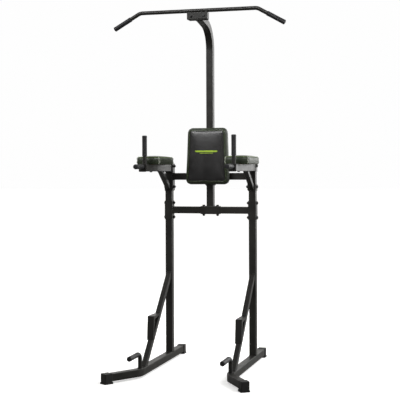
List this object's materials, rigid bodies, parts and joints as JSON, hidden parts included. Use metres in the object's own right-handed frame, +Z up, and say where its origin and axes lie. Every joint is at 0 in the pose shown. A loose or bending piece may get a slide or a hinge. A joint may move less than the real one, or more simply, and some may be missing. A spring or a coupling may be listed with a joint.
{
  "type": "power tower",
  "caption": "Free-standing power tower of square steel tube with a pull-up bar, dip arms with forearm pads and grips, a back pad, push-up handles and steps.",
  "frame": {"origin": "middle of the footprint on the floor, midway between the two feet", "axes": "+Z up; -Y is the way the user faces, the side with the arm pads and handles; +X to the right of someone who looks along +Y at the front"},
  "size_m": [1.127, 1.1498, 2.2745],
  "materials": {
    "frame_paint": "satin black powder coat",
    "moulded_grip": "matte moulded PVC foam",
    "black_plastic": "lightly textured",
    "black_fastener": "black zinc",
    "zinc_steel": "bright zinc",
    "black_vinyl": "satin grained vinyl",
    "green_piping": "satin vinyl piping",
    "plywood": "bare plywood"
  },
  "bodies": {
    "root": {"arm_end_plates": "frame_paint", "back_pad": "black_vinyl", "back_pad_board": "plywood", "back_pad_brackets": "frame_paint", "bar_block": "frame_paint", "bar_block_caps": "black_plastic", "foot_caps": "black_plastic", "frame_bolts": "black_fastener", "frame_nuts": "black_fastener", "frame_washers": "black_fastener", "left_arm_brace": "frame_paint", "left_arm_brace_bracket": "frame_paint", "left_arm_pad": "black_vinyl", "left_arm_pad_board": "plywood", "left_arm_rear_bracket": "frame_paint", "left_arm_tube": "frame_paint", "left_bar_grip": "moulded_grip", "left_brace": "frame_paint", "left_dip_grip": "moulded_grip", "left_dip_handle": "frame_paint", "left_foot_tube": "frame_paint", "left_lower_crossbar_saddle": "frame_paint", "left_post": "frame_paint", "left_pushup_grip": "moulded_grip", "left_pushup_handle": "frame_paint", "left_step": "frame_paint", "left_upper_crossbar_end_plate": "frame_paint", "left_upper_crossbar_tube": "frame_paint", "left_upright_grip": "moulded_grip", "left_upright_handle": "frame_paint", "lower_crossbar": "frame_paint", "mast": "frame_paint", "mast_foot_saddle": "frame_paint", "mast_head_plate": "frame_paint", "pad_screws": "black_fastener", "pad_t_nuts": "zinc_steel", "post_caps": "black_plastic", "pull_up_bar": "frame_paint", "right_arm_brace": "frame_paint", "right_arm_brace_bracket": "frame_paint", "right_arm_pad": "black_vinyl", "right_arm_pad_board": "plywood", "right_arm_rear_bracket": "frame_paint", "right_arm_tube": "frame_paint", "right_bar_grip": "moulded_grip", "right_brace": "frame_paint", "right_dip_grip": "moulded_grip", "right_dip_handle": "frame_paint", "right_foot_tube": "frame_paint", "right_lower_crossbar_saddle": "frame_paint", "right_post": "frame_paint", "right_pushup_grip": "moulded_grip", "right_pushup_handle": "frame_paint", "right_step": "frame_paint", "right_upper_crossbar_end_plate": "frame_paint", "right_upper_crossbar_tube": "frame_paint", "right_upright_grip": "moulded_grip", "right_upright_handle": "frame_paint", "upper_crossbar_centre_saddle": "frame_paint"}
  },
  "joints": []
}
